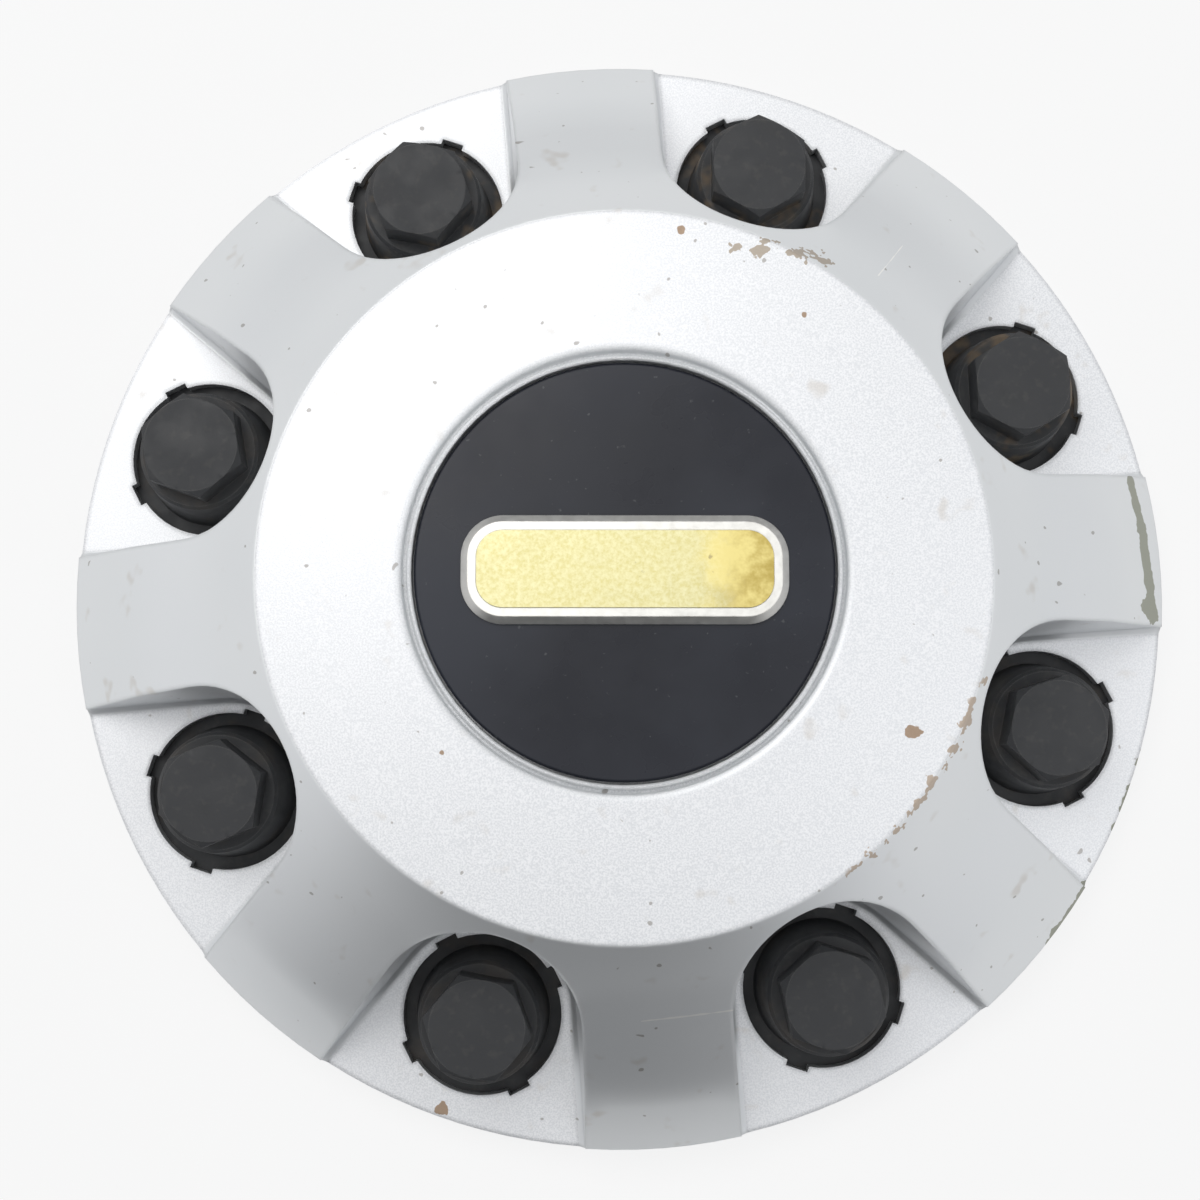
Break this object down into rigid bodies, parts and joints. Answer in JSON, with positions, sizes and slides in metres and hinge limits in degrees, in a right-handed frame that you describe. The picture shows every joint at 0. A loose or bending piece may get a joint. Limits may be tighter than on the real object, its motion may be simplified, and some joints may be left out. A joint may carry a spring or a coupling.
{
  "type": "wheel center cap",
  "caption": "Domed plastic wheel center cap with scalloped lug pockets, captive hexagon lug covers that turn, and a recessed round emblem disc with a plain bar badge.",
  "frame": {"origin": "centre of the rim's back face, which rests on the wheel", "axes": "+Z along the cap's axis out of its face, +X along the badge bar"},
  "size_m": [0.206, 0.206, 0.0507],
  "materials": {
    "silver_paint": "satin silver paint",
    "black_cover": "matte",
    "black_disc": "satin",
    "badge_silver": "satin metallic",
    "badge_gold": "satin metallic",
    "foam_tape": "matte"
  },
  "bodies": {
    "cap": {"cap_body": "silver_paint", "adhesive_pad": "foam_tape", "emblem_disc": "black_disc", "badge_frame": "badge_silver", "badge_inlay": "badge_gold"},
    "lug_cover_1_body": {"lug_cover_1": "black_cover"},
    "lug_cover_2_body": {"lug_cover_2": "black_cover"},
    "lug_cover_3_body": {"lug_cover_3": "black_cover"},
    "lug_cover_4_body": {"lug_cover_4": "black_cover"},
    "lug_cover_5_body": {"lug_cover_5": "black_cover"},
    "lug_cover_6_body": {"lug_cover_6": "black_cover"},
    "lug_cover_7_body": {"lug_cover_7": "black_cover"},
    "lug_cover_8_body": {"lug_cover_8": "black_cover"}
  },
  "joints": [
    {"name": "lug_cover_1_turn", "type": "hinge", "parent": "cap", "child": "lug_cover_1_body", "pos_m": [0.07362, 0.03735, 0.005], "axis": [0, 0, 1], "continuous": true},
    {"name": "lug_cover_2_turn", "type": "hinge", "parent": "cap", "child": "lug_cover_2_body", "pos_m": [0.02565, 0.07846, 0.005], "axis": [0, 0, 1], "continuous": true},
    {"name": "lug_cover_3_turn", "type": "hinge", "parent": "cap", "child": "lug_cover_3_body", "pos_m": [-0.03735, 0.07362, 0.005], "axis": [0, 0, 1], "continuous": true},
    {"name": "lug_cover_4_turn", "type": "hinge", "parent": "cap", "child": "lug_cover_4_body", "pos_m": [-0.07846, 0.02565, 0.005], "axis": [0, 0, 1], "continuous": true},
    {"name": "lug_cover_5_turn", "type": "hinge", "parent": "cap", "child": "lug_cover_5_body", "pos_m": [-0.07362, -0.03735, 0.005], "axis": [0, 0, 1], "continuous": true},
    {"name": "lug_cover_6_turn", "type": "hinge", "parent": "cap", "child": "lug_cover_6_body", "pos_m": [-0.02565, -0.07846, 0.005], "axis": [0, 0, 1], "continuous": true},
    {"name": "lug_cover_7_turn", "type": "hinge", "parent": "cap", "child": "lug_cover_7_body", "pos_m": [0.03735, -0.07362, 0.005], "axis": [0, 0, 1], "continuous": true},
    {"name": "lug_cover_8_turn", "type": "hinge", "parent": "cap", "child": "lug_cover_8_body", "pos_m": [0.07846, -0.02565, 0.005], "axis": [0, 0, 1], "continuous": true}
  ]
}
